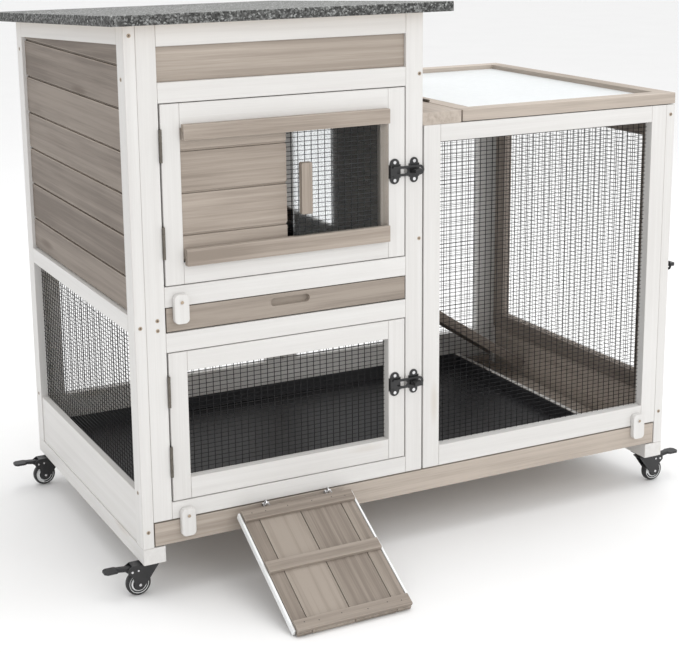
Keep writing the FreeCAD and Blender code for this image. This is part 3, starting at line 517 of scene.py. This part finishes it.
def nails():
    """Nail heads along the battens of the outer ramp."""
    source = solids("ramp_boards")
    mesh_data = bmesh.new()
    for faces in islands(source):
        along, across, through = grain_axes(faces)
        points = [vert.co for face in faces for vert in face.verts]
        reach = [[p.dot(axis) for p in points] for axis in (along, across, through)]
        size = [max(r) - min(r) for r in reach]
        if not BATTEN_LENGTHS[0] < size[0] < BATTEN_LENGTHS[1]:
            continue
        middle = [(max(r) + min(r)) / 2 for r in reach]
        outward = through if through.z > 0 else -through
        centre = along * middle[0] + across * middle[1] + through * middle[2] + outward * size[2] / 2
        for place in NAIL_PLACES:
            wander = across * random.uniform(-0.18, 0.18) * size[1]
            head = Matrix.Translation(centre + along * place * size[0] + wander) @ facing(outward)
            bmesh.ops.create_cone(mesh_data, cap_ends=True, segments=10, radius1=NAIL_RADIUS,
                                  radius2=NAIL_RADIUS * 0.8, depth=NAIL_HEIGHT, matrix=head)
    source.free()
    mesh = finished_mesh("ramp_nails", mesh_data, DARK_NAILS_AND_RECESS_SHADE)
    new_object("ramp_nails", mesh, body_of("ramp_boards"))


def painted_screw_recess_shade():
    """A dark cross in the head of each screw of the frame, as painted shade standing in for the shade
    inside the cross recess.
    """
    source = solids("frame_screws")
    mesh_data = bmesh.new()
    for faces in islands(source):
        low, high = extents(faces)
        size = high - low
        thin = min(range(3), key=lambda i: size[i])
        centre = (low + high) / 2
        outward = Vector((0, 0, 0))
        outward[thin] = math.copysign(1.0, centre[thin])
        centre[thin] += outward[thin] * (size[thin] / 2 - RECESS_SINK)
        head = Matrix.Translation(centre) @ facing(outward)
        twist = random.uniform(0, math.pi)
        for quarter in (0, math.pi / 2):
            spin = Matrix.Rotation(twist + quarter, 4, "Z")
            bar = Matrix.Diagonal((*RECESS_BAR, 1))
            bmesh.ops.create_cube(mesh_data, size=1.0, matrix=head @ spin @ bar)
    source.free()
    mesh = finished_mesh("painted_screw_recess_shade", mesh_data, DARK_NAILS_AND_RECESS_SHADE)
    new_object("painted_screw_recess_shade", mesh, body_of("frame_screws"))


# ------------------------------------------------------------------ wire mesh

ACROSS_STEP = 12.7 * MM
UP_STEP = 7.8 * MM
FRONT_WIRE = 0.65 * MM          # radius; both are chosen for looks
FAR_WIRE = 0.42 * MM            # in the panels of the back and of the right side
FAR_BACK, FAR_RIGHT = 250 * MM, 500 * MM


def wire_rod(mesh_data, start, end, radius):
    """One straight wire."""
    along = end - start
    bmesh.ops.create_cone(mesh_data, cap_ends=True, segments=6, radius1=radius, radius2=radius,
                          depth=along.length, matrix=Matrix.Translation((start + end) / 2) @ facing(along))


def wire_panel(node):
    """Welded mesh in place of each closed sheet of the node: uprights, and thinner rows across them."""
    source = solids(node)
    mesh_data = bmesh.new()
    for faces in islands(source):
        low, high = extents(faces)
        size = high - low
        thin = min(range(3), key=lambda i: size[i])
        wide = 1 - thin
        middle = (low[thin] + high[thin]) / 2
        radius = FAR_WIRE if low.y > FAR_BACK or low.x > FAR_RIGHT else FRONT_WIRE
        count = int(size[wide] / ACROSS_STEP)
        first = low[wide] + (size[wide] - count * ACROSS_STEP) / 2
        for k in range(count + 1):
            start = Vector((0, 0, low.z))
            start[wide] = first + k * ACROSS_STEP
            start[thin] = middle + radius
            end = start.copy()
            end.z = high.z
            wire_rod(mesh_data, start, end, radius)
        rows = int(size.z / UP_STEP)
        base = low.z + (size.z - rows * UP_STEP) / 2
        for k in range(rows + 1):
            start = Vector((0, 0, base + k * UP_STEP))
            start[wide] = low[wide]
            start[thin] = middle - radius * 0.8
            end = start.copy()
            end[wide] = high[wide]
            wire_rod(mesh_data, start, end, radius * 0.85)
    source.free()
    for face in mesh_data.faces:
        face.smooth = True
    mesh = finished_mesh(f"{node}_wires", mesh_data, WIRE)
    new_object(f"{node}_wires", mesh, body_of(node), [node])


# ------------------------------------------------------------------ floor, light and camera

FLOOR_HALF = 60.0
FLOOR_LEVEL = -0.5 * MM
# name, place, aim, side, watts, colour
LIGHTS = (
    ("key", (0.6, -4.2, 2.6), (0, 0, 0.5), 2.6, 40, (1.0, 0.985, 0.96)),
    ("fill", (3.2, -1.4, 2.4), (0, 0, 0.5), 2.4, 16, (0.96, 0.98, 1.0)),
    ("top", (0.2, 0.2, 3.6), (0, 0, 0.4), 3.0, 48, (1.0, 1.0, 1.0)),
)


def area_light(name, place, aim, side, power, colour):
    data = bpy.data.lights.new(name, "AREA")
    data.shape = "RECTANGLE"
    data.size = data.size_y = side
    data.energy = power
    data.color = colour
    lamp = bpy.data.objects.new(name, data)
    lamp.location = place
    lamp.rotation_euler = (Vector(aim) - Vector(place)).to_track_quat("-Z", "Y").to_euler()
    bpy.context.scene.collection.objects.link(lamp)


def build_studio():
    n = Nodes("pale_floor")
    mottle = n.ramp(n.noise(n.place(), 3.0), [(0.3, (0.885, 0.885, 0.885)), (0.7, (0.9, 0.9, 0.9))])
    mesh_data = bmesh.new()
    bmesh.ops.create_grid(mesh_data, x_segments=4, y_segments=4, size=FLOOR_HALF)
    floor = bpy.data.objects.new("floor", finished_mesh("floor", mesh_data, n.finish(mottle, 0.7)))
    floor.location.z = FLOOR_LEVEL
    bpy.context.scene.collection.objects.link(floor)
    world = bpy.data.worlds.new("studio")
    bpy.context.scene.world = world
    world.use_nodes = True
    background = world.node_tree.nodes["Background"]
    background.inputs["Color"].default_value = (1.0, 1.0, 1.0, 1)
    background.inputs["Strength"].default_value = 1.0
    for light in LIGHTS:
        area_light(*light)
    bpy.context.scene.view_settings.view_transform = "Standard"


# Degrees, metres and pixels, fitted to the photograph but for the shift.
CAMERA_PLACE = (-1.315, -2.558, 1.161)
CAMERA_YAW = 26.97
CAMERA_PITCH = -12.99
CAMERA_ROLL = 0.51
FOCAL_PIXELS = 1491.8
IMAGE_WIDE = 679.0
SHIFT_UP = -0.12                # smaller than the best fit's, so the other views stay in the picture


def build_camera():
    data = bpy.data.cameras.new("camera")
    data.sensor_width = 36.0
    data.lens = FOCAL_PIXELS / IMAGE_WIDE * data.sensor_width
    data.shift_y = SHIFT_UP
    camera = bpy.data.objects.new("camera", data)
    camera.location = CAMERA_PLACE
    turn = Matrix.Rotation(math.radians(-CAMERA_YAW), 4, "Z")
    tip = Matrix.Rotation(math.radians(90 + CAMERA_PITCH), 4, "X")
    lean = Matrix.Rotation(math.radians(-CAMERA_ROLL), 4, "Z")
    camera.rotation_euler = (turn @ tip @ lean).to_euler()
    bpy.context.scene.collection.objects.link(camera)
    bpy.context.scene.camera = camera


build_timber()
build_plastic()
build_metal()
nails()
painted_screw_recess_shade()
for panel in ("wire_mesh_panels", "upper_door_mesh", "lower_door_mesh", "side_door_mesh"):
    wire_panel(panel)
build_studio()
build_camera()
